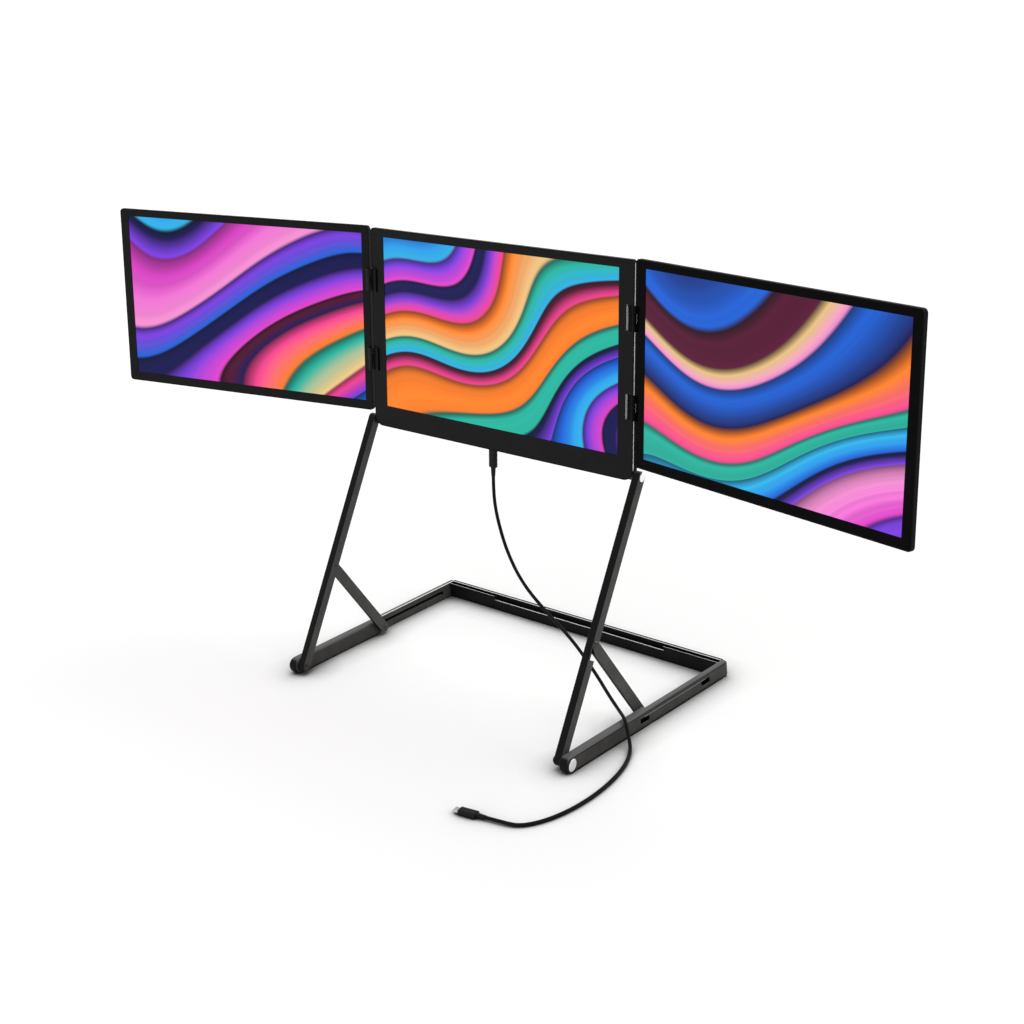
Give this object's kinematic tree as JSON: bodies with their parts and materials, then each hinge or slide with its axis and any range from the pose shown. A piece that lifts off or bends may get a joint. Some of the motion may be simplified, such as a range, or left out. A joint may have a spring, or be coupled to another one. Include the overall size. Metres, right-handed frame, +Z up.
{
  "type": "laptop screen extender",
  "caption": "Triple portable monitor: a centre screen with a folding wing screen on each side, on a folding stand with a U-shaped base.",
  "frame": {"origin": "on the table, under the middle of the rear cross rail", "axes": "+X to the viewer's right along the screens, +Y away from the viewer, +Z up"},
  "size_m": [1.1131, 0.3909, 0.4997],
  "materials": {
    "screen_cover": "dark anodised, satin",
    "screen_bezel": "satin black",
    "screen_glass": "smooth display face",
    "backlight_plate": "white diffuser",
    "circuit_board": "solder mask",
    "hinge_metal": "black coated zinc",
    "screw_steel": "dark plated",
    "speaker_plastic": "moulded",
    "bright_steel": "nickel plated",
    "stand_metal": "dark grey anodised",
    "arm_metal": "dark grey anodised",
    "foot_rubber": "matte",
    "cap_metal": "polished",
    "washer_plastic": "nylon",
    "cable_jacket": "smooth jacket",
    "plug_plastic": "moulded",
    "button_plastic": "moulded"
  },
  "bodies": {
    "base": {"corner_screws": "screw_steel", "cross_rail": "stand_metal", "foot_pads": "foot_rubber", "lower_cap_left": "cap_metal", "lower_cap_right": "cap_metal", "lower_pin_left": "screw_steel", "lower_pin_right": "screw_steel", "side_rail_left": "stand_metal", "side_rail_right": "stand_metal", "usb_cable": "cable_jacket", "usb_plug_laptop": "plug_plastic", "usb_shell_laptop": "bright_steel"},
    "arms": {"arm_left": "arm_metal", "arm_right": "arm_metal", "strut_pin_left": "screw_steel", "strut_pin_right": "screw_steel", "tilt_pin_left": "screw_steel", "tilt_pin_right": "screw_steel", "tilt_washers": "washer_plastic", "upper_cap_left": "cap_metal", "upper_cap_right": "cap_metal"},
    "struts": {"foot_pin_left": "screw_steel", "foot_pin_right": "screw_steel", "strut_left": "arm_metal", "strut_right": "arm_metal"},
    "centre_screen": {"button_board": "circuit_board", "centre_back_cover": "screen_cover", "centre_backlight": "backlight_plate", "centre_bezel": "screen_bezel", "centre_hinge_leaves": "hinge_metal", "centre_lcd": "screen_glass", "centre_screws": "screw_steel", "loudspeakers": "speaker_plastic", "main_board": "circuit_board", "port_shells": "bright_steel", "tilt_bracket_left": "screw_steel", "tilt_bracket_right": "screw_steel", "usb_plug_screen": "plug_plastic", "usb_shell_screen": "bright_steel", "wing_hinge_pins": "screw_steel"},
    "left_wing": {"left_wing_back_cover": "screen_cover", "left_wing_backlight": "backlight_plate", "left_wing_bezel": "screen_bezel", "left_wing_driver_board": "circuit_board", "left_wing_hinge_leaves": "hinge_metal", "left_wing_lcd": "screen_glass", "left_wing_screws": "screw_steel"},
    "right_wing": {"right_wing_back_cover": "screen_cover", "right_wing_backlight": "backlight_plate", "right_wing_bezel": "screen_bezel", "right_wing_driver_board": "circuit_board", "right_wing_hinge_leaves": "hinge_metal", "right_wing_lcd": "screen_glass", "right_wing_screws": "screw_steel"},
    "power_button": {"power_button": "button_plastic"},
    "menu_button": {"menu_button": "button_plastic"},
    "brightness_button": {"brightness_button": "button_plastic"}
  },
  "joints": [
    {"name": "arms_fold", "type": "hinge", "parent": "base", "child": "arms", "pos_m": [0, -0.258, 0.0092], "axis": [-1, 0, 0], "range_deg": [0, 43.5]},
    {"name": "struts_fold", "type": "hinge", "parent": "arms", "child": "struts", "pos_m": [0, -0.19588, 0.11466], "axis": [-1, 0, 0], "range_deg": [-85.7, 0]},
    {"name": "screen_tilt", "type": "hinge", "parent": "arms", "child": "centre_screen", "pos_m": [0, -0.10548, 0.26812], "axis": [1, 0, 0], "range_deg": [-20, 60]},
    {"name": "left_wing_fold", "type": "hinge", "parent": "centre_screen", "child": "left_wing", "pos_m": [-0.1933, -0.09947, 0.38361], "axis": [0, 0.1167, 0.9932], "range_deg": [-13.05, 166.95]},
    {"name": "right_wing_fold", "type": "hinge", "parent": "centre_screen", "child": "right_wing", "pos_m": [0.1933, -0.09609, 0.38321], "axis": [0, -0.1167, -0.9932], "range_deg": [-10.42, 169.58]},
    {"name": "power_button_press", "type": "slide", "parent": "centre_screen", "child": "power_button", "axis": [0, -0.9932, 0.1167], "range_m": [0, 0.0006], "stiffness_N_per_m": 400, "springref_m": -0.0004},
    {"name": "menu_button_press", "type": "slide", "parent": "centre_screen", "child": "menu_button", "axis": [0, -0.9932, 0.1167], "range_m": [0, 0.0006], "stiffness_N_per_m": 400, "springref_m": -0.0004},
    {"name": "brightness_button_press", "type": "slide", "parent": "centre_screen", "child": "brightness_button", "axis": [0, -0.9932, 0.1167], "range_m": [0, 0.0006], "stiffness_N_per_m": 400, "springref_m": -0.0004}
  ],
  "couplings": [
    {"joint": "struts_fold", "follows": "arms_fold", "ratio": -1.97}
  ]
}
